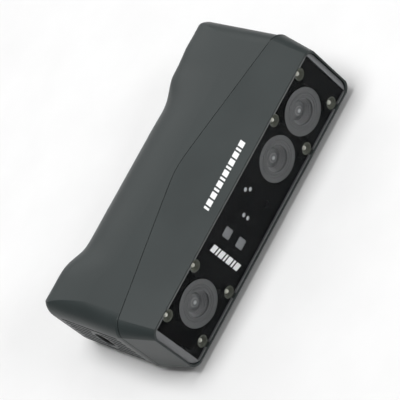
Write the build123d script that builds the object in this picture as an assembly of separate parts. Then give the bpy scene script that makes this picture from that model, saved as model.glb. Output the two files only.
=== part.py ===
"""Handheld 3-D scanner: two-shell body, optical front window, rear keypad and cooled electronics.

Everything is modelled upright in the device frame: X across the thickness, Y from the front window
(0) to the back of the grip, Z from the foot (0) to the head. put() turns each piece into the row
frame, where the scanner lies on its side: +X towards the head, +Y towards the grip, +Z up.
All sizes are in millimetres.
"""
from build123d import *
import os
from math import sqrt

os.makedirs("parts", exist_ok=True)

# ---------------------------------------------------------------- body envelope
LENGTH = 161.0            # foot end to head end
HALF_THICK = 20.6         # half of the thickness, at the flat sides
DEPTH = 79.4              # front rim to the keypad's crown
WALL = 2.0                # moulded wall
RIM_HALF = 17.2           # half width of the front rim
RIM_STEP = 4.8            # the front rim stands in from each end by this much
RIM_CORNER = 6.0          # corner radius of the front rim
END_CORNER = 9.5          # rounding between the sides and the ends
EDGE_DEPTH = 22.0         # depth at which the end facets reach the ends
BACK_ROUND = 7.0          # rounding all round the back
BACK = 79.0               # back plane of the head
FOOT_DROP = 0.4           # the back lies this much lower at the foot
GRIP_BACK = 77.3          # back of the slimmer grip
GRIP_FLAT = 8.0           # half width of the grip's flat back
GRIP_CORNER = 15.5        # how far out the grip's corner is pulled
GRIP_SIDE_END = 40.0      # depth where the grip's sides start to curve
GRIP_SIDE_PULL = 60.0     # how far back those sides are pulled
SECTION_Z = [-1, 4, 9, 14, 18, 22, 26, 30, 34, 40, 50, 62, 72, 78, 82.4, 87, 93, 104,
             114, 122, 127, 131, 135, 139, 143, 148, 153, 158, 162]
BACK_SPARE = 0.3          # the trimming block stands off the back by this much
FRONT_OVER = 0.6          # the lofted body starts this far ahead of the front rim, then is trimmed
SIDE_OVER = 0.01          # it also stands this far outside the flat sides before it is trimmed

# ---------------------------------------------------------------- parting line
CREASE_END = 22.0         # depth of the parting line at both ends
CREASE_MID = 37.2         # depth where its two straight legs would meet
CREASE_Z = 82.4           # height of the bend
CREASE_SOFT = 5.0         # softness of the bend
SEAM = 0.35               # gap that shows as the parting line

# ---------------------------------------------------------------- front window
GLASS_HALF = 15.5
GLASS_LOW = 9.3
GLASS_HIGH = 152.3
GLASS_THICK = 1.0
MASK_THICK = 0.3
BEZEL_FACE = 0.3          # the bezel and glass sit this far behind the rim
BEZEL_HALF = 16.1
BEZEL_LOW = 5.9
BEZEL_CORNER = 4.9
BEZEL_DEEP = 4.3
BEZEL_GAP = 0.3
STRIP_DROP = 0.9          # fall of the sloped strips at the window's two ends
GLASS_BACK = BEZEL_FACE + GLASS_THICK + MASK_THICK

# ---------------------------------------------------------------- optics
CAMERAS = {"upper": (131.5, 11.5), "middle": (106.2, 11.1), "lower": (30.3, 11.5)}
LED_X = 12.9
LED_RINGS = {"upper": (131.5, 12.34), "lower": (30.3, 12.75)}
LED_R = 3.1
PROJECTORS = {"left": -5.0, "right": 5.0}
PROJECTOR_Z = 64.3
PROJECTOR_SIZE = 5.2
LASERS = {"upper": [(-8.1, 85.4), (-5.6, 87.0)], "lower": [(-1.5, 75.7), (1.5, 75.7)]}
LASER_R = 1.15
SENSOR_AT = (7.1, 86.2)
SENSOR_R = 1.7
BENCH_Y = 17.6            # front face of the optical bench
BENCH_THICK = 2.4
BENCH_SCREWS = [(sx * 12.6, z) for sx in (-1, 1) for z in (16, 46, 84, 145)]
FACE_BACK = GLASS_BACK + 1.0
FACE_BORE = 6.3           # radius of the bore in a camera's baffle
BARREL_BACK = 13.6
LED_BACK = BEZEL_DEEP + 0.03
BOWL_BACK = GLASS_BACK + 1.75
BOARD_Y = 26.0            # front face of the main board
BATTERY_Y = 54.0
CELL_R = 8.4
CELL_X = 7.9

# ---------------------------------------------------------------- foot end
PORT_Y = 45.8
PORT_HALF = 5.95          # half length of the charging recess, across the thickness
PORT_R = 4.2
PORT_DEEP = 5.2
SLOT_PITCH = 3.54
SLOT_ROWS = 7
SLOT_W = 1.5
SLOT_FROM = 26.6
SLOT_TO = 68.0
SLOT_CLEAR = 2.0          # plain land between the slots and the recess

# ---------------------------------------------------------------- head back
PAD_Z = 145.4             # middle height of the keypad
RING_HALF_X = 12.9
RING_HALF_Z = 7.4
RING_CORNER = 4.2
RING_W = 1.15
BEZEL2_HALF = 14.0        # half width of the keypad bezel
BEZEL2_LOW = 128.6
BEZEL2_HIGH = 154.4
BEZEL2_CORNER = 4.6
FIT = 0.25                # gap round the set-in covers
KEY_GAP = 0.3
KEY_TRAVEL = 0.5
KEY_MID_HALF = 3.75
WINDOW_Z = 132.4
WINDOW_HALF = 7.0
WINDOW_R = 1.15
KEY_BACK = BACK - 2.6
KEY_EDGE = KEY_MID_HALF + KEY_GAP
KEYS = {"key_minus": (KEY_EDGE, 20), "key_scan": (-KEY_MID_HALF, KEY_MID_HALF),
        "key_plus": (-20, -KEY_EDGE)}
KEY_STEMS = (-(KEY_EDGE + 9.5) / 2, 0.0, (KEY_EDGE + 9.5) / 2)

# ---------------------------------------------------------------- foot cover
CAP_HALF = 14.3
CAP_LOW = 3.6
CAP_HIGH = 22.4
CAP_TOP_R = 3.0
CAP_LOW_R = 7.5
CAP_SCREWS = [(-9.0, 14.0), (9.0, 14.0)]

# ---------------------------------------------------------------- fan
FAN_Y = 46.0
FAN_Z = 20.0
FAN_SIZE = 30.0
FAN_DEEP = 8.0
FAN_BLADES = 9


def put(shape, name):
    """Turn a piece from the upright device frame into the row frame and write it."""
    placed = Pos(-LENGTH / 2, -DEPTH / 2, HALF_THICK) * Rot(0, 90, 0) * shape
    placed.label = name
    export_step(placed, f"parts/{name}.step")


def smooth(t):
    t = min(max(t, 0.0), 1.0)
    return t * t * (3 - 2 * t)


def crease_y(z):
    """Depth of the parting line at height z: two straight legs joined by a soft bend."""
    leg = LENGTH / 2 - END_CORNER
    slope = (CREASE_MID - CREASE_END) / leg
    return CREASE_MID - slope * sqrt((z - CREASE_Z) ** 2 + CREASE_SOFT ** 2)


def back_shape(z):
    """Sizes of the back's curve: side end, side pull, corner pull, flat half width, depth.

    The sides flare out beside the keypad and the foot cover, and the back widens ahead of them.
    """
    side_head = smooth((z - 130.0) / 14.0)
    side_foot = smooth((34.0 - z) / 17.0)
    back_head = smooth((z - 112.0) / 18.0)
    back_foot = smooth((38.0 - z) / 16.0)
    sides = side_head + side_foot
    backs = back_head + back_foot
    side_end = GRIP_SIDE_END + 5.0 * sides
    side_pull = GRIP_SIDE_PULL + 14.0 * sides
    corner_pull = GRIP_CORNER + 2.3 * backs
    flat = GRIP_FLAT + 5.4 * backs
    depth = GRIP_BACK + (BACK - GRIP_BACK) * backs - FOOT_DROP * back_foot
    return side_end, side_pull, corner_pull, flat, depth


def section(z, inset):
    """Cross-section of the body at height z, drawn inset from the outside."""
    side_end, side_pull, corner_pull, flat, back = back_shape(z)
    rim = RIM_HALF - inset
    half = HALF_THICK + SIDE_OVER - inset
    back -= inset
    corner = min(corner_pull, half - 0.6)
    mid = crease_y(z)
    front = rim - (half - rim) * FRONT_OVER / mid
    right = [(half, side_end), (half, side_pull - inset), (corner, back), (flat, back)]
    left = [(-x, y) for x, y in reversed(right)]
    edges = Line((-front, -FRONT_OVER), (front, -FRONT_OVER))
    edges += Line((front, -FRONT_OVER), (half, mid)) + Line((half, mid), right[0])
    edges += Bezier(*right) + Line(right[3], left[0]) + Bezier(*left)
    edges += Line(left[3], (-half, mid)) + Line((-half, mid), (-front, -FRONT_OVER))
    return Pos(0, 0, z) * make_face(edges)



def plate_xz(half_x, z_low, z_high, corner, y_from, y_to):
    """Rounded rectangular plate square to Y."""
    mid = (z_low + z_high) / 2
    flat = Plane(origin=(0, y_from, mid), x_dir=(1, 0, 0), z_dir=(0, 1, 0))
    return extrude(flat * RectangleRounded(2 * half_x, z_high - z_low, corner), y_to - y_from)


def box(x0, x1, y0, y1, z0, z1):
    return Pos((x0 + x1) / 2, (y0 + y1) / 2, (z0 + z1) / 2) * Box(x1 - x0, y1 - y0, z1 - z0)


def rod_y(x, z, radius, y0, y1):
    """Round bar along Y."""
    return Pos(x, (y0 + y1) / 2, z) * Rot(90, 0, 0) * Cylinder(radius, y1 - y0)


def rod_z(x, y, radius, z0, z1):
    """Round bar along Z."""
    return Pos(x, y, (z0 + z1) / 2) * Cylinder(radius, z1 - z0)


def obround_z(half, radius, y, z0, z1):
    """Upright stadium prism, long across X."""
    bar = Pos(0, y, z0) * SlotOverall(2 * half, 2 * radius)
    return extrude(bar, z1 - z0)


def envelope(inset):
    """Block with rounded edges and the four front facets, which trims the lofted body."""
    low, high = inset, LENGTH - inset
    half = HALF_THICK - inset
    back = BACK - inset + BACK_SPARE
    rim_low = RIM_STEP + inset
    rim_high = LENGTH - RIM_STEP - inset
    outline = Polyline((BACK + 5, low), (BACK + 5, high), (EDGE_DEPTH, high), (0, rim_high),
                       (0, rim_low), (EDGE_DEPTH, low), close=True)
    side_view = Plane(origin=(-30, 0, 0), x_dir=(0, 1, 0), z_dir=(1, 0, 0)) * make_face(outline)
    profile = extrude(side_view, 60)
    prism = plate_xz(half, low, high, END_CORNER - inset, EDGE_DEPTH - 0.5, back)
    prism = fillet(prism.faces().sort_by(Axis.Y)[-1].edges(), BACK_ROUND - inset)
    mid = LENGTH / 2
    front = Plane(origin=(0, -0.5, mid), x_dir=(1, 0, 0), z_dir=(0, 1, 0))
    behind = Plane(origin=(0, EDGE_DEPTH, mid), x_dir=(1, 0, 0), z_dir=(0, 1, 0))
    small = front * RectangleRounded(2 * (RIM_HALF + 0.2 - inset), rim_high - rim_low + 0.4,
                                     RIM_CORNER - inset)
    large = behind * RectangleRounded(2 * half + 0.9, high - low + 0.9, END_CORNER - inset)
    nose = loft([small, large], ruled=True)
    return profile & (prism + nose)


def body_solid(inset):
    return loft([section(z, inset) for z in SECTION_Z]) & envelope(inset)


def crease_cutter(offset, front):
    """Solid in front of (or behind) the parting surface, shifted by offset along Y."""
    steps = [-6 + i * (LENGTH + 12) / 24 for i in range(25)]
    curve = Spline(*[(crease_y(z) + offset, z) for z in steps])
    far = -20 if front else 120
    lines = curve + Polyline(curve @ 1, (far, steps[-1]), (far, steps[0]), curve @ 0)
    plane = Plane(origin=(-30, 0, 0), x_dir=(0, 1, 0), z_dir=(1, 0, 0))
    return extrude(plane * make_face(lines), 60)


# ================================================================ shells
outer = body_solid(0)
inner = body_solid(WALL)
gasket_outer = body_solid(0.6)


def make_front_shell():
    shell = (outer & crease_cutter(-SEAM / 2, True)) - inner
    gap = BEZEL_GAP
    shell -= plate_xz(BEZEL_HALF + gap, BEZEL_LOW - gap, LENGTH - BEZEL_LOW + gap,
                      BEZEL_CORNER + gap, -2, BEZEL_DEEP + 0.05)
    return shell


def port_block(margin, z0, z1):
    return obround_z(PORT_HALF + margin, PORT_R + margin, PORT_Y, z0, z1)


def vent_slots():
    """Parallel slots through the foot end, kept clear of the charging recess."""
    slots = []
    middle = (SLOT_FROM + SLOT_TO) / 2
    for row in range(SLOT_ROWS):
        x = (row - (SLOT_ROWS - 1) / 2) * SLOT_PITCH
        flat = Pos(x, middle, -1) * Rot(0, 0, 90) * SlotOverall(SLOT_TO - SLOT_FROM, SLOT_W)
        slots.append(extrude(flat, WALL + 2))
    keep = port_block(SLOT_CLEAR, -2, WALL + 2)
    return [slot - keep for slot in slots]


def cap_prism(grow, y_from, y_to):
    """Prism of the foot cover: small top corners, large lower corners."""
    half = CAP_HALF + grow
    low = CAP_LOW - grow
    high = CAP_HIGH + grow
    top_r = CAP_TOP_R + grow
    low_r = CAP_LOW_R + grow
    flat = Polyline((half, low + low_r), (half, high - top_r))
    flat += RadiusArc((half, high - top_r), (half - top_r, high), -top_r)
    flat += Line((half - top_r, high), (-half + top_r, high))
    flat += RadiusArc((-half + top_r, high), (-half, high - top_r), -top_r)
    flat += Line((-half, high - top_r), (-half, low + low_r))
    flat += RadiusArc((-half, low + low_r), (-half + low_r, low), -low_r)
    flat += Line((-half + low_r, low), (half - low_r, low))
    flat += RadiusArc((half - low_r, low), (half, low + low_r), -low_r)
    plane = Plane(origin=(0, y_from, 0), x_dir=(-1, 0, 0), z_dir=(0, 1, 0))
    return extrude(plane * make_face(flat), y_to - y_from)


def make_rear_housing():
    shell = (outer & crease_cutter(SEAM / 2, False)) - inner
    shell -= vent_slots()
    shell -= port_block(0, -1, WALL + 1)
    shell -= plate_xz(BEZEL2_HALF + FIT, BEZEL2_LOW - FIT, BEZEL2_HIGH + FIT,
                      BEZEL2_CORNER + FIT, BACK - 4.5, BACK + 3)
    shell -= cap_prism(FIT, BACK - 1.6, BACK + 3)
    for x, z in CAP_SCREWS:
        shell += rod_y(x, z, 3.2, BACK - 9, BACK - 1.7)
        shell -= rod_y(x, z, 1.0, BACK - 10, BACK)
        shell -= rod_y(x, z, 1.9, BACK - 2.7, BACK)
    return shell


def make_seam_gasket():
    slab = crease_cutter(SEAM / 2, True) & crease_cutter(-SEAM / 2, False)
    return (gasket_outer & slab) - inner


def make_foot_cap():
    cap = (outer & cap_prism(0, BACK - 1.55, BACK + 3))
    groove = box(-0.12, 0.12, BACK - 0.7, BACK + 1, CAP_LOW - 1, CAP_HIGH + 1)
    return cap - groove


# ================================================================ front window
def make_window_bezel():
    """Tray round the glass, with a sloped strip across each end."""
    low, high = BEZEL_LOW, LENGTH - BEZEL_LOW
    tray = plate_xz(BEZEL_HALF, low, high, BEZEL_CORNER, BEZEL_FACE, BEZEL_DEEP)
    tray -= box(-GLASS_HALF - 0.1, GLASS_HALF + 0.1, -1, GLASS_BACK, GLASS_LOW - 0.1,
                GLASS_HIGH + 0.1)
    for glass_end, tray_end in ((GLASS_LOW, low), (GLASS_HIGH, high)):
        wedge = Polyline((BEZEL_FACE, glass_end), (BEZEL_FACE + STRIP_DROP, tray_end),
                         (-1, tray_end), (-1, glass_end), close=True)
        plane = Plane(origin=(-20, 0, 0), x_dir=(0, 1, 0), z_dir=(1, 0, 0))
        tray -= extrude(plane * make_face(wedge), 40)
    for z, radius in CAMERAS.values():
        tray -= rod_y(0, z, radius + 0.4, 0, 10)
    for x, z in led_places("upper") + led_places("lower"):
        tray -= rod_y(x, z, LED_R + 0.35, 0, 10)
    for pair in LASERS.values():
        for x, z in pair:
            tray -= rod_y(x, z, LASER_R + 0.15, 0, 10)
    for x in PROJECTORS.values():
        half = PROJECTOR_SIZE / 2 + 0.15
        tray -= plate_xz_at(x, PROJECTOR_Z, half, half, 0.8, 0, 10)
    tray -= rod_y(*SENSOR_AT, SENSOR_R + 0.15, 0, 10)
    return tray


def plate_xz_at(x, z, half_x, half_z, corner, y_from, y_to):
    return Pos(x, 0, 0) * plate_xz(half_x, z - half_z, z + half_z, corner, y_from, y_to)


def led_places(ring):
    z, dz = LED_RINGS[ring]
    return [(sx * LED_X, z + sz * dz) for sx in (-1, 1) for sz in (-1, 1)]


def make_window_mask():
    """Opaque print behind the glass, clear where the optics look out."""
    mask = box(-GLASS_HALF, GLASS_HALF, BEZEL_FACE + GLASS_THICK, GLASS_BACK, GLASS_LOW, GLASS_HIGH)
    for z, radius in CAMERAS.values():
        mask -= rod_y(0, z, radius, 0, 5)
    for x, z in led_places("upper") + led_places("lower"):
        mask -= rod_y(x, z, LED_R, 0, 5)
    for pair in LASERS.values():
        for x, z in pair:
            mask -= rod_y(x, z, LASER_R, 0, 5)
    for x in PROJECTORS.values():
        half = PROJECTOR_SIZE / 2
        mask -= plate_xz_at(x, PROJECTOR_Z, half, half, 0.7, 0, 5)
    mask -= rod_y(*SENSOR_AT, SENSOR_R, 0, 5)
    return mask


def make_front_glass():
    return box(-GLASS_HALF, GLASS_HALF, BEZEL_FACE, BEZEL_FACE + GLASS_THICK, GLASS_LOW, GLASS_HIGH)


# ================================================================ cameras and lights
def make_camera_face(z, radius):
    """Stepped baffle disc that fills the camera's clear window."""
    face = rod_y(0, z, radius + 0.3, GLASS_BACK + 0.05, FACE_BACK)
    face -= rod_y(0, z, FACE_BORE, 0, 10)
    for ring in (FACE_BORE + 1.3, FACE_BORE + 2.6):
        face -= rod_y(0, z, ring, 0, GLASS_BACK + 0.25) - rod_y(0, z, ring - 0.35, -1, 11)
    return face


def make_camera_barrel(z):
    barrel = rod_y(0, z, 8.0, FACE_BACK, BARREL_BACK)
    for step in range(4):
        barrel -= rod_y(0, z, FACE_BORE - 0.1 - 0.5 * step, FACE_BACK - 1, FACE_BACK + 0.7 * (step + 1))
    return barrel - rod_y(0, z, 3.2, 0, BARREL_BACK - 1.5)


def make_camera_lens(z):
    """Front element: a shallow dome seated in the barrel."""
    seat = FACE_BACK + 2.8
    dome = Pos(0, seat + 6.2, z) * Sphere(7.7)
    return dome & rod_y(0, z, 4.55, FACE_BACK, seat)


def make_camera_holder(z):
    holder = box(-9, 9, BARREL_BACK, BARREL_BACK + 2.2, z - 9, z + 9)
    return holder - rod_y(0, z, 4, BARREL_BACK - 1, BARREL_BACK + 1.2)


def make_camera_board(z):
    return box(-11, 11, BARREL_BACK + 2.2, BARREL_BACK + 3.4, z - 11, z + 11)


def make_led_cups(ring):
    cups = []
    for x, z in led_places(ring):
        cup = rod_y(x, z, LED_R + 0.2, GLASS_BACK + 0.05, LED_BACK)
        bowl = Pos(x, GLASS_BACK + 0.05, z) * Rot(-90, 0, 0) * Cone(LED_R + 0.6, 1.3, 2 * 1.7)
        cups.append(cup - bowl)
    return cups


def make_led_lenses(ring):
    lenses = []
    for x, z in led_places(ring):
        dome = Pos(x, BOWL_BACK, z) * Sphere(1.15)
        lenses.append(dome & rod_y(x, z, 1.2, GLASS_BACK, BOWL_BACK - 0.02))
    return lenses


def make_led_board(ring):
    z, dz = LED_RINGS[ring]
    board = plate_xz(15.6, z - dz - 4.0, z + dz + 4.0, 2.0, LED_BACK, LED_BACK + 1.0)
    board -= rod_y(0, z, 11.9, 0, 20)
    if ring == "upper":
        board -= box(-12.2, 12.2, 0, 20, z - 30, z - dz + 2)
    return board


def make_lasers(pair):
    return [rod_y(x, z, LASER_R - 0.1, GLASS_BACK + 0.1, GLASS_BACK + 7) for x, z in pair]


def make_projector(x):
    half = PROJECTOR_SIZE / 2 - 0.05
    window = plate_xz_at(x, PROJECTOR_Z, half, half, 0.6, GLASS_BACK + 0.05, BEZEL_DEEP)
    return window


def make_projector_engine(x):
    half = PROJECTOR_SIZE / 2 - 0.1
    return box(x - half, x + half, BEZEL_DEEP + 0.05, BENCH_Y, PROJECTOR_Z - 7, PROJECTOR_Z + 7)


def make_range_sensor():
    x, z = SENSOR_AT
    body = box(x - 2.6, x + 2.6, BEZEL_DEEP, BEZEL_DEEP + 1.6, z - 3, z + 3)
    return body + rod_y(x, z, SENSOR_R - 0.1, GLASS_BACK + 0.6, BEZEL_DEEP)


def make_optical_bench():
    """Aluminium plate that keeps the cameras and the projector in line."""
    bench = plate_xz(15.4, 12, LENGTH - 13, 3, BENCH_Y, BENCH_Y + BENCH_THICK)
    for z in (48, 90, 118.8):
        bench -= plate_xz(9.5, z - 5, z + 5, 2.5, BENCH_Y - 1, BENCH_Y + 5)
    for sign in (-1, 1):
        bench += box(sign * 15.4 - 0.9, sign * 15.4 + 0.9, BENCH_Y, BENCH_Y + 6, 14, LENGTH - 15)
    for x, z in BENCH_SCREWS:
        bench -= rod_y(x, z, 1.0, BENCH_Y - 1, BENCH_Y + 4)
    return bench


def make_bench_screws():
    return [screw_y(x, z, BENCH_Y, 1.8, 0.95, 3.6) for x, z in BENCH_SCREWS]


def screw_y(x, z, y, head_r, shank_r, shank):
    """Cross-recess pan screw with its head at y, facing the front."""
    screw = rod_y(x, z, head_r, y - 1.3, y) + rod_y(x, z, shank_r, y, y + shank)
    for turn in (0, 90):
        recess = Pos(x, y - 1.0, z) * Rot(0, turn, 0) * Box(2.0, 0.7, 0.45)
        screw -= recess
    return screw


# ================================================================ electronics
def make_main_board():
    board = plate_xz(16.6, 40, LENGTH - 12, 2, BOARD_Y, BOARD_Y + 1.6)
    for x, z, half_x, half_z, tall in ((0, 92, 7, 7, 1.4), (0, 70, 6, 4, 1.1), (-9, 112, 3, 5, 1.2),
                                       (9, 112, 3, 5, 1.2), (0, 132, 5, 5, 2.0)):
        board += box(x - half_x, x + half_x, BOARD_Y + 1.5, BOARD_Y + 1.6 + tall, z - half_z, z + half_z)
    return board


def make_heatsink():
    """Finned block over the processor; the fins run along Z with the air."""
    base = BOARD_Y + 3.0
    sink = box(-13, 13, base, base + 1.6, 62, 106)
    for i in range(9):
        x = -12.4 + i * 3.1
        sink += box(x - 0.4, x + 0.4, base + 1.5, base + 8.0, 62, 106)
    return sink


def make_battery():
    cells = [rod_z(x, BATTERY_Y, CELL_R, 44, 109) for x in (-CELL_X, CELL_X)]
    wrap = box(-CELL_X, CELL_X, BATTERY_Y - CELL_R, BATTERY_Y + CELL_R, 44, 109)
    return cells[0] + wrap + cells[1]


def make_antenna():
    board = box(-9, 9, 40, 41, LENGTH - 12, LENGTH - 4)
    return board + box(-7, 7, 39.6, 40.1, LENGTH - 10.5, LENGTH - 6)


def make_flex_cable():
    """Flat cable from the camera board to the main board."""
    strip = Polyline((BARREL_BACK + 3.4, 118.4), (BARREL_BACK + 3.4, 119.0), (BOARD_Y - 0.6, 119.0),
                     (BOARD_Y - 0.6, 123.0), (BOARD_Y, 123.0), (BOARD_Y, 118.4), close=True)
    plane = Plane(origin=(-5, 0, 0), x_dir=(0, 1, 0), z_dir=(1, 0, 0))
    return extrude(plane * make_face(strip), 10)


# ================================================================ charging port
def make_port_surround():
    """Black cup that lines the charging recess, with the connector's mouth in its floor."""
    cup = port_block(0.9, WALL + 0.1, PORT_DEEP + 1.2) + port_block(-0.12, 0.25, WALL + 0.2)
    cup -= port_block(-0.55, -1, PORT_DEEP)
    return cup - obround_z(4.6, 1.75, PORT_Y, PORT_DEEP - 1, PORT_DEEP + 3)


def make_port_connector():
    """Metal shell of the receptacle with its tongue."""
    shell = obround_z(4.5, 1.65, PORT_Y, PORT_DEEP + 0.1, PORT_DEEP + 7.2)
    shell -= obround_z(4.17, 1.32, PORT_Y, PORT_DEEP, PORT_DEEP + 6.6)
    return shell


def make_port_tongue():
    return box(-3.3, 3.3, PORT_Y - 0.35, PORT_Y + 0.35, PORT_DEEP + 1.1, PORT_DEEP + 6.6)


def make_port_board():
    return box(-9, 9, PORT_Y + 2.0, PORT_Y + 3.2, WALL + 5.0, 14.5)


# ================================================================ fan
def make_fan_frame():
    half = FAN_SIZE / 2
    frame = box(-half, half, FAN_Y - half, FAN_Y + half, FAN_Z - FAN_DEEP / 2, FAN_Z + FAN_DEEP / 2)
    frame -= rod_z(0, FAN_Y, half - 1.0, FAN_Z - 10, FAN_Z + FAN_DEEP / 2 - 1.2)
    ring = rod_z(0, FAN_Y, half - 1.0, FAN_Z, FAN_Z + 10) - rod_z(0, FAN_Y, 6.5, FAN_Z - 1, FAN_Z + 11)
    for turn in range(4):
        ring -= Pos(0, FAN_Y, FAN_Z + 5) * Rot(0, 0, 45 + 90 * turn) * Pos(10, 0, 0) * Box(12, 1.6, 12)
    frame -= ring
    for x in (-1, 1):
        for y in (-1, 1):
            frame -= rod_z(x * 12.6, FAN_Y + y * 12.6, 1.2, FAN_Z - 10, FAN_Z + 10)
    return frame + rod_z(0, FAN_Y, 1.0, FAN_Z - 2.6, FAN_Z + FAN_DEEP / 2 - 1.0)


def make_fan_rotor():
    """Hub and raked blades on the frame's spindle."""
    low, high = FAN_Z - FAN_DEEP / 2 + 0.5, FAN_Z + FAN_DEEP / 2 - 1.8
    rotor = rod_z(0, FAN_Y, 6.2, low, high)
    for i in range(FAN_BLADES):
        blade = Rot(0, 0, i * 360 / FAN_BLADES) * Pos(9.4, 0, 0) * Rot(38, 0, 0) * Box(7.4, 0.7, 6.0)
        rotor += Pos(0, FAN_Y, (low + high) / 2) * blade
    rotor &= rod_z(0, FAN_Y, 13.4, low, high)
    return rotor - rod_z(0, FAN_Y, 1.06, low - 1, high + 1)


# ================================================================ keypad
def make_keypad_bezel():
    """Set-in cover at the back of the head, with the pocket for the ring and the keys."""
    plate = plate_xz(BEZEL2_HALF, BEZEL2_LOW, BEZEL2_HIGH, BEZEL2_CORNER, BACK - 3.2, BACK + 1)
    plate &= outer
    plate -= pad_block(0, BACK - 0.9, BACK + 2)
    plate -= pad_block(-RING_W, BACK - 5, BACK)
    slot_y = BACK - 0.55
    plate -= window_block(0, slot_y, BACK + 2)
    plate -= window_block(-0.35, BACK - 5, BACK)
    return plate


def pad_block(grow, y_from, y_to):
    return plate_xz(RING_HALF_X + grow, PAD_Z - RING_HALF_Z - grow, PAD_Z + RING_HALF_Z + grow,
                    RING_CORNER + grow, y_from, y_to)


def window_block(grow, y_from, y_to):
    half, radius = WINDOW_HALF + grow, WINDOW_R + grow
    return plate_xz(half, WINDOW_Z - radius, WINDOW_Z + radius, radius - 0.001, y_from, y_to)


def make_light_ring():
    ring = pad_block(-0.08, BACK - 0.85, DEPTH)
    ring = fillet(ring.faces().sort_by(Axis.Y)[-1].edges(), 0.25)
    return ring - pad_block(-RING_W, BACK - 2, BACK + 2)


def make_indicator_window():
    return window_block(-0.06, BACK - 0.5, BACK + 0.05)


def make_key(x0, x1):
    """One key of the pad: a slightly crowned cap on a short stem."""
    cap = pad_block(-RING_W - KEY_GAP, KEY_BACK, DEPTH)
    crown = Pos(0, DEPTH - 0.1 - 90.0, PAD_Z) * Sphere(90.0)
    cap = (cap & crown) & box(x0, x1, KEY_BACK - 1, DEPTH + 1, PAD_Z - 9, PAD_Z + 9)
    middle = (max(x0, -9.5) + min(x1, 9.5)) / 2
    cap += rod_y(middle, PAD_Z, 1.3, KEY_BACK - 1.6, KEY_BACK + 0.1)
    return cap


def make_key_board():
    """Small board behind the keys with a dome switch under each stem."""
    top = KEY_BACK - 1.6 - KEY_TRAVEL - 0.15
    board = plate_xz(11.2, PAD_Z - 6.6, PAD_Z + 6.6, 2.0, top - 2.4, top - 1.2)
    for x in KEY_STEMS:
        board += box(x - 1.9, x + 1.9, top - 1.3, top - 0.5, PAD_Z - 1.9, PAD_Z + 1.9)
        board += rod_y(x, PAD_Z, 1.0, top - 0.6, top)
    return board


def make_indicator_board():
    return plate_xz(8, WINDOW_Z - 2, WINDOW_Z + 2, 0.6, BACK - 4.6, BACK - 3.4)


def make_cap_screws():
    screws = []
    for x, z in CAP_SCREWS:
        screw = rod_y(x, z, 1.75, BACK - 2.62, BACK - 1.62) + rod_y(x, z, 0.95, BACK - 7.5, BACK - 2.6)
        screws.append(screw)
    return screws


put(make_front_shell(), "front_shell")
put(make_rear_housing(), "rear_housing")
put(make_seam_gasket(), "seam_gasket")
put(make_foot_cap(), "foot_cap")
put(Compound(make_cap_screws()), "foot_cap_screws")
put(make_window_bezel(), "window_bezel")
put(make_window_mask(), "window_mask")
put(make_front_glass(), "front_glass")
for camera, (height, window_r) in CAMERAS.items():
    put(make_camera_face(height, window_r), f"camera_face_{camera}")
    put(make_camera_barrel(height), f"camera_barrel_{camera}")
    put(make_camera_lens(height), f"camera_lens_{camera}")
    put(make_camera_holder(height), f"camera_holder_{camera}")
    put(make_camera_board(height), f"camera_board_{camera}")
for ring in LED_RINGS:
    put(Compound(make_led_cups(ring)), f"led_cups_{ring}")
    put(Compound(make_led_lenses(ring)), f"led_lenses_{ring}")
    put(make_led_board(ring), f"led_board_{ring}")
for name, pair in LASERS.items():
    put(Compound(make_lasers(pair)), f"laser_pair_{name}")
for side, centre in PROJECTORS.items():
    put(make_projector(centre), f"projector_window_{side}")
    put(make_projector_engine(centre), f"projector_engine_{side}")
put(make_range_sensor(), "range_sensor")
put(make_optical_bench(), "optical_bench")
put(Compound(make_bench_screws()), "bench_screws")
put(make_main_board(), "main_board")
put(make_heatsink(), "heatsink")
put(make_battery(), "battery_pack")
put(make_antenna(), "antenna")
put(make_flex_cable(), "camera_flex_cable")
put(make_port_surround(), "port_surround")
put(make_port_connector(), "port_connector")
put(make_port_tongue(), "port_tongue")
put(make_port_board(), "port_board")
put(make_fan_frame(), "fan_frame")
put(make_fan_rotor(), "fan_rotor")
put(make_keypad_bezel(), "keypad_bezel")
put(make_light_ring(), "status_light_ring")
put(make_indicator_window(), "indicator_window")
for name, (low_x, high_x) in KEYS.items():
    put(make_key(low_x, high_x), name)
put(make_key_board(), "key_board")
put(make_indicator_board(), "indicator_board")
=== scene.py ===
"""Looks for the handheld scanner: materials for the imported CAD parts, plain marks, studio light and camera.

Metres, in the row frame: the scanner lies on its side, +X to the head, the front window faces -Y, +Z up.
"""

import bmesh
import bpy
from mathutils import Matrix, Vector
from mathutils.bvhtree import BVHTree


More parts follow.
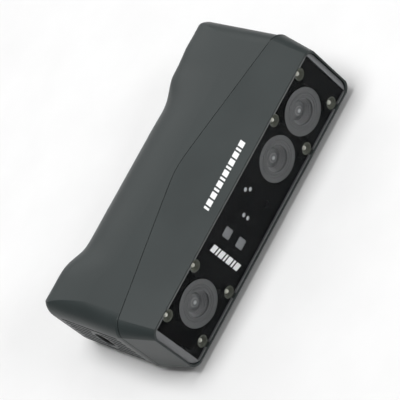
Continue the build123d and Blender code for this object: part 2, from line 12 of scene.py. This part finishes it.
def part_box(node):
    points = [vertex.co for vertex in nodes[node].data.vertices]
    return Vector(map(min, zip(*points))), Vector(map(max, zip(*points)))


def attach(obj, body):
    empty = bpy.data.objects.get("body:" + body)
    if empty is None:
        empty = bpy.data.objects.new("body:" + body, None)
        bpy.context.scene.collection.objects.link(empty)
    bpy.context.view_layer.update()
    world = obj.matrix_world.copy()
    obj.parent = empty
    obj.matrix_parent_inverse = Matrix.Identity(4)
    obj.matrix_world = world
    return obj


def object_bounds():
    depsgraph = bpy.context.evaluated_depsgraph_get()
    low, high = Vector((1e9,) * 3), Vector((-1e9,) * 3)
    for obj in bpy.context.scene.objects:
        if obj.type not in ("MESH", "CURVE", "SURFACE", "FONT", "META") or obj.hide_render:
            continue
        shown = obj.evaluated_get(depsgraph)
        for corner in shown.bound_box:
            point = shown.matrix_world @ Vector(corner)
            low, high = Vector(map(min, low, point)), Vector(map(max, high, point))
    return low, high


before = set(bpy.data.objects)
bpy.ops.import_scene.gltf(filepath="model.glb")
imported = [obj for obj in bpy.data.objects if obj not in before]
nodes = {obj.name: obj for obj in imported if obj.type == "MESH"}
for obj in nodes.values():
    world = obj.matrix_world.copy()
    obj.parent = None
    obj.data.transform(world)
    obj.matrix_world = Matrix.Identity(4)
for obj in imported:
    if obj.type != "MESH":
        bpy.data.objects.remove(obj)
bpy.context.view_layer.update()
MM = 0.001


def mid(node):
    low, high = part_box(node)
    return (low + high) / 2


# ---------------------------------------------------------------- materials
EDGE_SOFT = 0.35 * MM         # rounding that the moulded edges show in the light
EDGE_SAMPLES = 4
CLOUD_SCALE = 28.0            # slow drift of gloss and colour over a moulding, per metre
CLOUD_DETAIL = 3.0
GLOSS_DIP, GLOSS_RISE = 0.03, 0.04   # how far the roughness of a moulding strays
GRAIN = 2600.0                # spark-eroded grain of the casing, per metre
FINE_GRAIN = 3200.0
COARSE_GRAIN = 1400.0
GRAIN_ROUGH = 0.6
GRAIN_DEPTH = 0.02 * MM
GLOSSY_DEPTH = 0.004 * MM
COARSE_DEPTH = 0.05 * MM
SCRATCH_SCALE = 900.0         # drawn scratches across their length, per metre
SCRATCH_STRETCH = 0.06        # how much coarser they are along X
SCRATCH_DETAIL = 4.0
SCRATCH_DEPTH = 0.01 * MM
SCRATCH_STRENGTH = 0.3
SCRATCH_SHADE = 0.8           # colour inside a scratch, as a share of the metal's own
SCRATCH_DIP, SCRATCH_RISE = 0.06, 0.08
WIPE_SCALE = 60.0             # streaks left by wiping the glass, per metre
WIPE_SHADE = 0.85
WIPE_RISE = 0.03
COATING_SCALE = 500.0         # uneven coating of the lenses, per metre


def new_material(name):
    """New material, with its node tree and its Principled shader."""
    material = bpy.data.materials.new(name)
    material.use_nodes = True
    tree = material.node_tree
    return material, tree, tree.nodes["Principled BSDF"]


def link(tree, source, target):
    tree.links.new(source, target)


def noise(tree, scale, detail=2.0, rough=0.5):
    """Noise in object space, so a grain keeps its real size on every piece."""
    place = tree.nodes.new("ShaderNodeTexCoord")
    node = tree.nodes.new("ShaderNodeTexNoise")
    node.inputs["Scale"].default_value = scale
    node.inputs["Detail"].default_value = detail
    node.inputs["Roughness"].default_value = rough
    link(tree, place.outputs["Object"], node.inputs["Vector"])
    return node.outputs["Fac"]


def ranged(tree, value, low, high, from_low=0.3, from_high=0.7):
    """Value rescaled to low..high; the default input span is where noise mostly lies."""
    node = tree.nodes.new("ShaderNodeMapRange")
    node.inputs["From Min"].default_value = from_low
    node.inputs["From Max"].default_value = from_high
    node.inputs["To Min"].default_value = low
    node.inputs["To Max"].default_value = high
    link(tree, value, node.inputs["Value"])
    return node.outputs["Result"]


def blend(tree, value, low, high):
    """Colour between low and high, by value."""
    node = tree.nodes.new("ShaderNodeMix")
    node.data_type = "RGBA"
    node.inputs["A"].default_value = (*low, 1)
    node.inputs["B"].default_value = (*high, 1)
    link(tree, value, node.inputs["Factor"])
    return node.outputs["Result"]


def bump(tree, shader, height, distance, strength):
    """Fine relief over softened edges."""
    node = tree.nodes.new("ShaderNodeBump")
    node.inputs["Strength"].default_value = strength
    node.inputs["Distance"].default_value = distance
    link(tree, height, node.inputs["Height"])
    soft = tree.nodes.new("ShaderNodeBevel")
    soft.samples = EDGE_SAMPLES
    soft.inputs["Radius"].default_value = EDGE_SOFT
    link(tree, soft.outputs["Normal"], node.inputs["Normal"])
    link(tree, node.outputs["Normal"], shader.inputs["Normal"])


def plastic(name, dark, light, rough, grain=GRAIN, depth=GRAIN_DEPTH, strength=0.35, specular=0.5):
    """Moulded plastic: spark-eroded grain, slow cloudy gloss and a slight colour drift."""
    material, tree, shader = new_material(name)
    cloud = noise(tree, CLOUD_SCALE, CLOUD_DETAIL)
    fine = noise(tree, grain, rough=GRAIN_ROUGH)
    link(tree, blend(tree, ranged(tree, cloud, 0, 1), dark, light), shader.inputs["Base Color"])
    link(tree, ranged(tree, cloud, rough - GLOSS_DIP, rough + GLOSS_RISE), shader.inputs["Roughness"])
    shader.inputs["Specular IOR Level"].default_value = specular
    bump(tree, shader, fine, depth, strength)
    return material


def metal(name, colour, rough):
    """Metal with fine drawn scratches along X."""
    material, tree, shader = new_material(name)
    place = tree.nodes.new("ShaderNodeTexCoord")
    stretch = tree.nodes.new("ShaderNodeMapping")
    stretch.inputs["Scale"].default_value = (SCRATCH_STRETCH, 1.0, 1.0)
    link(tree, place.outputs["Object"], stretch.inputs["Vector"])
    grain = tree.nodes.new("ShaderNodeTexNoise")
    grain.inputs["Scale"].default_value = SCRATCH_SCALE
    grain.inputs["Detail"].default_value = SCRATCH_DETAIL
    link(tree, stretch.outputs["Vector"], grain.inputs["Vector"])
    shade = tuple(c * SCRATCH_SHADE for c in colour)
    link(tree, blend(tree, ranged(tree, grain.outputs["Fac"], 0, 1), shade, colour),
         shader.inputs["Base Color"])
    link(tree, ranged(tree, grain.outputs["Fac"], rough - SCRATCH_DIP, rough + SCRATCH_RISE),
         shader.inputs["Roughness"])
    shader.inputs["Metallic"].default_value = 1.0
    bump(tree, shader, grain.outputs["Fac"], SCRATCH_DEPTH, SCRATCH_STRENGTH)
    return material


def glass(name, tint, alpha, rough, specular):
    """Thin coated glass: mostly see-through, with faint streaks left by wiping."""
    material, tree, shader = new_material(name)
    smear = noise(tree, WIPE_SCALE, CLOUD_DETAIL)
    wiped = tuple(c * WIPE_SHADE for c in tint)
    link(tree, blend(tree, ranged(tree, smear, 0, 1), wiped, tint), shader.inputs["Base Color"])
    link(tree, ranged(tree, smear, rough, rough + WIPE_RISE), shader.inputs["Roughness"])
    shader.inputs["Alpha"].default_value = alpha
    shader.inputs["Specular IOR Level"].default_value = specular
    return material


housing = plastic("housing_plastic", (0.020, 0.027, 0.027), (0.025, 0.033, 0.033), 0.42,
                  specular=0.36)
trim = plastic("trim_plastic", (0.028, 0.032, 0.033), (0.034, 0.038, 0.040), 0.32, grain=FINE_GRAIN)
# Lightened copy of the trim plastic: painted light, so the window's end strips show grey although they lie in
# shade.
window_trim_painted_light = plastic("window_trim_painted_light", (0.13, 0.135, 0.14), (0.16, 0.165, 0.17), 0.30, grain=FINE_GRAIN)
keys_look = plastic("key_plastic", (0.030, 0.034, 0.036), (0.038, 0.042, 0.044), 0.36)
black = plastic("black_plastic", (0.008, 0.008, 0.009), (0.013, 0.013, 0.014), 0.45)
rubber = plastic("seam_rubber", (0.004, 0.004, 0.004), (0.007, 0.007, 0.007), 0.7)
mask = plastic("window_print", (0.0018, 0.0024, 0.0028), (0.0025, 0.0032, 0.0037), 0.12,
               depth=GLOSSY_DEPTH, strength=0.1, specular=0.1)
baffle = plastic("camera_baffle", (0.115, 0.12, 0.122), (0.14, 0.145, 0.148), 0.45)
# Barrel colour lightened as painted light, so the barrels show grey although they sit in shade.
barrel_painted_light = plastic("camera_barrel", (0.22, 0.225, 0.23), (0.28, 0.285, 0.29), 0.32)
led_cup = plastic("led_reflector", (0.09, 0.10, 0.08), (0.14, 0.15, 0.12), 0.30)
led_dome = plastic("led_dome", (0.80, 0.80, 0.70), (0.92, 0.92, 0.84), 0.15)
# Near-white collimators: painted glints that stand for the highlight and reflection on each small laser lens.
laser_painted_glint = plastic("laser_collimator_painted_glint", (0.62, 0.64, 0.66), (0.80, 0.82, 0.85), 0.15)
diffuser = plastic("projector_diffuser", (0.24, 0.25, 0.26), (0.36, 0.37, 0.38), 0.4,
                   grain=COARSE_GRAIN, depth=COARSE_DEPTH)
board = plastic("circuit_board", (0.012, 0.07, 0.03), (0.02, 0.10, 0.05), 0.4)
wrap = plastic("battery_wrap", (0.02, 0.04, 0.12), (0.03, 0.06, 0.17), 0.25)
flex = plastic("flex_cable", (0.30, 0.13, 0.02), (0.42, 0.20, 0.04), 0.4)
print_white = plastic("white_print", (0.82, 0.83, 0.83), (0.9, 0.91, 0.91), 0.55)
icon_grey = plastic("icon_print", (0.28, 0.30, 0.30), (0.36, 0.38, 0.38), 0.55)
aluminium = metal("bench_aluminium", (0.62, 0.63, 0.64), 0.38)
anodised = metal("black_anodised", (0.10, 0.10, 0.11), 0.42)
nickel = metal("port_nickel", (0.55, 0.55, 0.54), 0.28)
zinc = metal("screw_zinc", (0.6, 0.6, 0.58), 0.32)
cover_glass = glass("cover_glass", (0.01, 0.012, 0.014), 0.08, 0.03, 0.2)


# Brightness of a lens from its centre (0) to its rim (1): a painted glint, painted shade for the dark pupil,
# then rings of painted reflection from the inner elements.
LENS_PAINTED_RINGS = ((0.0, 0.62), (0.16, 0.40), (0.30, 0.10), (0.46, 0.24), (0.55, 0.12), (0.80, 0.17),
              (0.88, 0.26), (1.0, 0.13))
LENS_RED, LENS_BLUE = 0.96, 1.02   # share of red and blue in the coating's colour
LENS_SMOOTH, LENS_ROUGH = 0.06, 0.14
LENS_COAT = 0.5


def lens_look(camera):
    """Coated lens: a pale painted glint, painted shade in its pupil and rings of painted reflection from its
    inner elements, laid out round its own axis.
    """
    material, tree, shader = new_material(f"lens_{camera}")
    centre = mid(f"camera_lens_{camera}")
    low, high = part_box(f"camera_lens_{camera}")
    place = tree.nodes.new("ShaderNodeTexCoord")
    shift = tree.nodes.new("ShaderNodeMapping")
    shift.inputs["Location"].default_value = (-centre.x, 0, -centre.z)
    shift.inputs["Scale"].default_value = (1, 0, 1)
    link(tree, place.outputs["Object"], shift.inputs["Vector"])
    reach = tree.nodes.new("ShaderNodeVectorMath")
    reach.operation = "LENGTH"
    link(tree, shift.outputs["Vector"], reach.inputs[0])
    radius = ranged(tree, reach.outputs["Value"], 0, 1, 0, (high.x - low.x) / 2)
    ramp = tree.nodes.new("ShaderNodeValToRGB")
    painted_rings = ramp.color_ramp.elements
    painted_rings[0].position = LENS_PAINTED_RINGS[0][0]
    painted_rings[1].position = LENS_PAINTED_RINGS[-1][0]
    for position, _ in LENS_PAINTED_RINGS[1:-1]:
        painted_rings.new(position)
    for element, (_, level) in zip(painted_rings, LENS_PAINTED_RINGS):
        element.color = (level * LENS_RED, level, level * LENS_BLUE, 1)
    link(tree, radius, ramp.inputs["Fac"])
    link(tree, ramp.outputs["Color"], shader.inputs["Base Color"])
    smear = noise(tree, COATING_SCALE)
    link(tree, ranged(tree, smear, LENS_SMOOTH, LENS_ROUGH), shader.inputs["Roughness"])
    shader.inputs["Coat Weight"].default_value = LENS_COAT
    return material


GUIDE_GREEN = (0.10, 0.62, 0.26, 1)
GUIDE_PALE = (0.62, 0.66, 0.66, 1)
GUIDE_BLUE = (0.34, 0.50, 0.62, 1)
GUIDE_GLOW = 0.15
GUIDE_SMOOTH, GUIDE_ROUGH = 0.3, 0.4
GREEN_END, PALE_FROM, BLUE_END = 0.06, 0.35, 0.96   # along the ring, as shares of its length


def light_guide():
    """The ring's light guide: pearly plastic lit green on one side and blue on the other."""
    material, tree, shader = new_material("light_ring")
    place = tree.nodes.new("ShaderNodeTexCoord")
    split = tree.nodes.new("ShaderNodeSeparateXYZ")
    link(tree, place.outputs["Object"], split.inputs["Vector"])
    low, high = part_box("status_light_ring")
    along = ranged(tree, split.outputs["X"], 0, 1, low.x, high.x)
    across = ranged(tree, split.outputs["Z"], 0, 1, low.z, high.z)
    ramp = tree.nodes.new("ShaderNodeValToRGB")
    green, blue = ramp.color_ramp.elements
    green.position = GREEN_END
    green.color = GUIDE_GREEN
    blue.position = BLUE_END
    blue.color = GUIDE_BLUE
    ramp.color_ramp.elements.new(PALE_FROM).color = GUIDE_PALE
    link(tree, along, ramp.inputs["Fac"])
    link(tree, ramp.outputs["Color"], shader.inputs["Base Color"])
    link(tree, ramp.outputs["Color"], shader.inputs["Emission Color"])
    shader.inputs["Emission Strength"].default_value = GUIDE_GLOW
    link(tree, ranged(tree, across, GUIDE_SMOOTH, GUIDE_ROUGH, 0, 1), shader.inputs["Roughness"])
    return material


LOOKS = {
    "front_shell": housing, "rear_housing": housing, "foot_cap": housing, "seam_gasket": rubber,
    "foot_cap_screws": zinc, "bench_screws": zinc, "window_bezel": window_trim_painted_light, "window_mask": mask,
    "front_glass": cover_glass, "range_sensor": mask, "optical_bench": aluminium,
    "main_board": board, "port_board": board, "key_board": board, "indicator_board": board,
    "antenna": board, "heatsink": anodised, "battery_pack": wrap, "camera_flex_cable": flex,
    "port_surround": black, "port_tongue": black, "port_connector": nickel,
    "fan_frame": black, "fan_rotor": black, "keypad_bezel": trim,
    "status_light_ring": light_guide(), "indicator_window": mask,
    "key_minus": keys_look, "key_scan": keys_look, "key_plus": keys_look,
}
FAMILIES = {
    "camera_face": baffle, "camera_barrel": barrel_painted_light,
    "camera_holder": black, "camera_board": board, "led_cups": led_cup, "led_lenses": led_dome,
    "led_board": board, "laser_pair": laser_painted_glint, "projector_window": diffuser,
    "projector_engine": black,
}

for camera in ("upper", "middle", "lower"):
    LOOKS[f"camera_lens_{camera}"] = lens_look(camera)


def look_of(name):
    if name in LOOKS:
        return LOOKS[name]
    return next(look for family, look in FAMILIES.items() if name.startswith(family))


for name, node in nodes.items():
    node.data.materials.clear()
    node.data.materials.append(look_of(name))


# ---------------------------------------------------------------- printed marks
PRINT_LIFT = 0.03 * MM        # how far a print stands off its surface
PRINT_SINK = 0.05 * MM        # how far its closed underside lies below the surface


def surface_tree(name):
    node = nodes[name]
    corners = [v.co.copy() for v in node.data.vertices]
    return BVHTree.FromPolygons(corners, [tuple(p.vertices) for p in node.data.polygons])


def printed(name, outlines, place, tree, facing, body, material):
    """Thin print made of flat outlines, laid on a surface by dropping each corner along facing."""
    mesh = bmesh.new()
    for outline in outlines:
        top, bottom = [], []
        for u, v in outline:
            start = place(u, v)
            hit = tree.ray_cast(start, facing)[0]
            top.append(mesh.verts.new(hit - facing * PRINT_LIFT))
            bottom.append(mesh.verts.new(hit + facing * PRINT_SINK))
        count = len(outline)
        mesh.faces.new(top)
        mesh.faces.new(list(reversed(bottom)))
        for i in range(count):
            j = (i + 1) % count
            mesh.faces.new((top[j], top[i], bottom[i], bottom[j]))
    bmesh.ops.recalc_face_normals(mesh, faces=mesh.faces)
    data = bpy.data.meshes.new(name)
    mesh.to_mesh(data)
    mesh.free()
    obj = bpy.data.objects.new(name, data)
    bpy.context.scene.collection.objects.link(obj)
    data.materials.append(material)
    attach(obj, body)
    return obj


def bar_row(widths, gap, height, lean):
    """Row of plain leaning bars, starting at u = 0 and rising along v."""
    bars = []
    u = 0.0
    for width in widths:
        bars.append([(u, 0.0), (u + width, 0.0), (u + width + lean, height), (u + lean, height)])
        u += width + gap
    return bars


MARK_HEIGHT = 3.6 * MM
MARK_LEAN = 0.9 * MM
MARK_GAP = 0.8 * MM
WIDE, NARROW = 3.0 * MM, 1.2 * MM
SIDE_WIDTHS = (WIDE, NARROW, WIDE, WIDE, NARROW, WIDE, NARROW, WIDE, NARROW, WIDE, WIDE, NARROW)
FRONT_WIDTHS = (WIDE, NARROW, WIDE, NARROW, WIDE, NARROW, WIDE)

shell_tree = surface_tree("front_shell")
shell_low, shell_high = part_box("front_shell")
MARK_START = shell_low.x + 103.0 * MM      # head end of the side marks, from the foot
MARK_Y = shell_low.y + 5.7 * MM            # their lower line, from the front
FRONT_MARK_X = shell_low.x + 52.0 * MM     # lower line of the window's mark, from the foot
CLEAR = 10 * MM               # how far outside the part the prints are dropped from


def on_top(u, v):
    return Vector((MARK_START - u, MARK_Y + v, shell_high.z + CLEAR))


def on_bottom(u, v):
    return Vector((MARK_START - u, MARK_Y + v, shell_low.z - CLEAR))


side_bars = bar_row(SIDE_WIDTHS, MARK_GAP, MARK_HEIGHT, -MARK_LEAN)
printed("side_mark_left", side_bars, on_top, shell_tree, Vector((0, 0, -1)), "body", print_white)
printed("side_mark_right", side_bars, on_bottom, shell_tree, Vector((0, 0, 1)), "body", print_white)

glass_tree = surface_tree("front_glass")
glass_mid = mid("front_glass")
front_bars = bar_row(FRONT_WIDTHS, MARK_GAP, MARK_HEIGHT, MARK_LEAN)
front_length = sum(FRONT_WIDTHS) + MARK_GAP * (len(FRONT_WIDTHS) - 1) + MARK_LEAN


def on_glass(u, v):
    return Vector((FRONT_MARK_X + v, shell_low.y - CLEAR, glass_mid.z + front_length / 2 - u))


printed("front_mark", front_bars, on_glass, glass_tree, Vector((0, 1, 0)), "body", print_white)


# ---------------------------------------------------------------- key icons
ICON = 1.0 * MM               # half size of a key's icon
STROKE = 0.17 * MM            # half width of its lines
PLAY_BACK = 0.8               # back edge of the triangle, as a share of its half size
PLAY_INNER = 0.62             # size of the triangle's open middle, as a share of the whole


def icon_minus():
    return [[(-ICON, -STROKE), (ICON, -STROKE), (ICON, STROKE), (-ICON, STROKE)]]


def icon_plus():
    arm = [(-ICON, -STROKE), (-STROKE, -STROKE), (-STROKE, STROKE), (-ICON, STROKE)]
    other = [(-x, y) for x, y in reversed(arm)]
    post = [(-STROKE, -ICON), (STROKE, -ICON), (STROKE, ICON), (-STROKE, ICON)]
    return [arm, other, post]


def icon_play():
    """Outline triangle, made of three strokes that meet at mitred corners."""
    outer = [(-ICON * PLAY_BACK, -ICON), (ICON, 0.0), (-ICON * PLAY_BACK, ICON)]
    inner = [(x * PLAY_INNER, y * PLAY_INNER) for x, y in outer]
    return [[outer[i], outer[(i + 1) % 3], inner[(i + 1) % 3], inner[i]] for i in range(3)]


def print_icon(key, outlines):
    place = mid(key)
    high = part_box(key)[1].y + CLEAR

    def over_key(u, v):
        return Vector((place.x + v, high, place.z + u))

    printed(f"icon_{key}", outlines, over_key, surface_tree(key), Vector((0, -1, 0)), key, icon_grey)


print_icon("key_minus", icon_minus())
print_icon("key_scan", icon_play())
print_icon("key_plus", icon_plus())


# ---------------------------------------------------------------- floor, light, camera
floor_top = Vector(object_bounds()[0]).z
FLOOR_GAP = 0.2 * MM          # keeps the paper just clear of the side that rests on it
FLOOR_HALF = 3.0


def make_floor():
    """Flat sheet of pale paper that the scanner lies on."""
    mesh = bmesh.new()
    corners = [(-FLOOR_HALF, -FLOOR_HALF), (FLOOR_HALF, -FLOOR_HALF), (FLOOR_HALF, FLOOR_HALF),
               (-FLOOR_HALF, FLOOR_HALF)]
    mesh.faces.new([mesh.verts.new((x, y, floor_top - FLOOR_GAP)) for x, y in corners])
    data = bpy.data.meshes.new("floor")
    mesh.to_mesh(data)
    mesh.free()
    floor = bpy.data.objects.new("floor", data)
    bpy.context.scene.collection.objects.link(floor)
    data.materials.append(plastic("floor_paper", (0.84, 0.84, 0.84), (0.87, 0.87, 0.87), 0.8))


def softbox(name, place, aim, size, power):
    data = bpy.data.lights.new(name, "AREA")
    data.shape = "RECTANGLE"
    data.size, data.size_y = size
    data.energy = power
    lamp = bpy.data.objects.new(name, data)
    bpy.context.scene.collection.objects.link(lamp)
    lamp.location = place
    lamp.rotation_euler = (Vector(aim) - Vector(place)).to_track_quat("-Z", "Y").to_euler()


def make_world(strength):
    world = bpy.data.worlds.new("studio")
    world.use_nodes = True
    world.node_tree.nodes["Background"].inputs["Color"].default_value = (1, 1, 1, 1)
    world.node_tree.nodes["Background"].inputs["Strength"].default_value = strength
    bpy.context.scene.world = world


def make_camera(place, forward, up, lens):
    forward = Vector(forward).normalized()
    right = forward.cross(Vector(up)).normalized()
    up = right.cross(forward)
    data = bpy.data.cameras.new("camera")
    data.lens = lens
    camera = bpy.data.objects.new("camera", data)
    bpy.context.scene.collection.objects.link(camera)
    turn = Matrix((right, up, -forward)).transposed().to_4x4()
    camera.matrix_world = Matrix.Translation(place) @ turn
    bpy.context.scene.camera = camera


LIGHT_AIM = (0, 0, 0.02)      # the middle of the scanner
SOFTBOXES = (                 # name, place, size, watts
    ("overhead", (-0.02, 0.05, 1.2), (0.6, 0.6), 11.5),
    ("back", (0.45, 0.9, 0.62), (1.0, 0.7), 3.0),
    ("front", (0.35, -1.0, 0.6), (0.5, 0.3), 4.0),
)
ROOM_LIGHT = 0.20
CAMERA_PLACE = (-0.2112, -0.7631, 0.6859)
CAMERA_FORWARD = (0.202, 0.736, -0.646)
CAMERA_UP = (0.859, 0.184, 0.479)
CAMERA_LENS = 200.0

make_floor()
make_world(ROOM_LIGHT)
for name, place, size, power in SOFTBOXES:
    softbox(name, place, LIGHT_AIM, size, power)
make_camera(CAMERA_PLACE, CAMERA_FORWARD, CAMERA_UP, CAMERA_LENS)
bpy.context.scene.view_settings.view_transform = "Standard"
